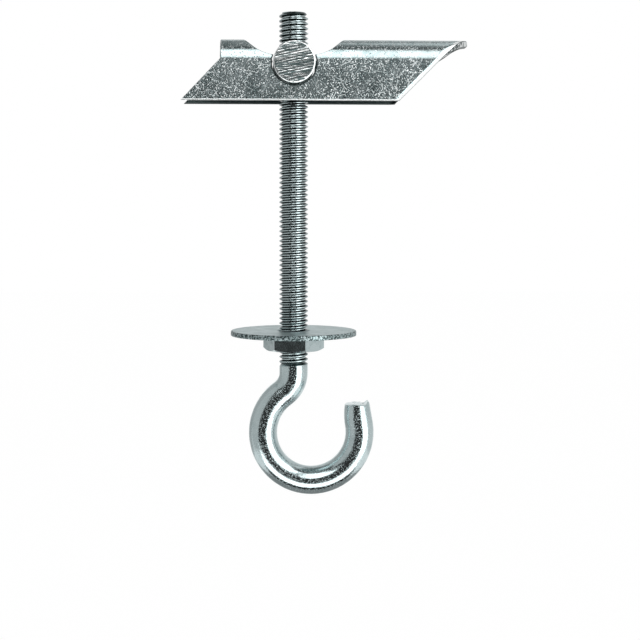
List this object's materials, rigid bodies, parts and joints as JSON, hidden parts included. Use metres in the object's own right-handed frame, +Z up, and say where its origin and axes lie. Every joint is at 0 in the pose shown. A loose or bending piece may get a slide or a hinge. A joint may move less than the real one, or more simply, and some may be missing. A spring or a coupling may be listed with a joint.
{
  "type": "swag hook",
  "caption": "Open round ceiling hook on a threaded rod, with a folded tilting toggle, a cross nut, a wide washer and a thin hexagon nut, for hanging things from a hollow ceiling.",
  "frame": {"origin": "on the rod's axis, in the plane of the channel's lower edges that rest on the board", "axes": "+Z up along the rod, +X towards the channel's long arm, +Y along the cross nut"},
  "size_m": [0.0583, 0.026, 0.0995],
  "materials": {
    "plated_sheet": "bright zinc on folded sheet, mottled and scratched",
    "plated_bar": "bright zinc on turned bar, with saw marks on the ends",
    "plated_wire": "bright zinc on rolled thread and drawn wire",
    "plated_washer": "bright zinc on a stamped washer",
    "plated_nut": "bright zinc on a hexagon nut"
  },
  "bodies": {
    "toggle": {"toggle_channel": "plated_sheet"},
    "hanger": {"cross_nut": "plated_bar", "hook_rod": "plated_wire"},
    "washer": {"washer": "plated_washer"},
    "nut": {"hex_nut": "plated_nut"}
  },
  "joints": [
    {"name": "toggle_tilt", "type": "hinge", "parent": "toggle", "child": "hanger", "pos_m": [0, 0, 0.0076], "axis": [0, 1, 0], "range_deg": [-90, 90]},
    {"name": "washer_travel", "type": "slide", "parent": "hanger", "child": "washer", "axis": [0, 0, 1], "range_m": [-0.0025, 0.018]},
    {"name": "nut_turn", "type": "hinge", "parent": "washer", "child": "nut", "pos_m": [0, 0, -0.048], "axis": [0, 0, 1], "range_deg": [-900, 6480]}
  ],
  "couplings": [
    {"joint": "nut_turn", "follows": "washer_travel", "rad_per_m": 6283.2}
  ]
}
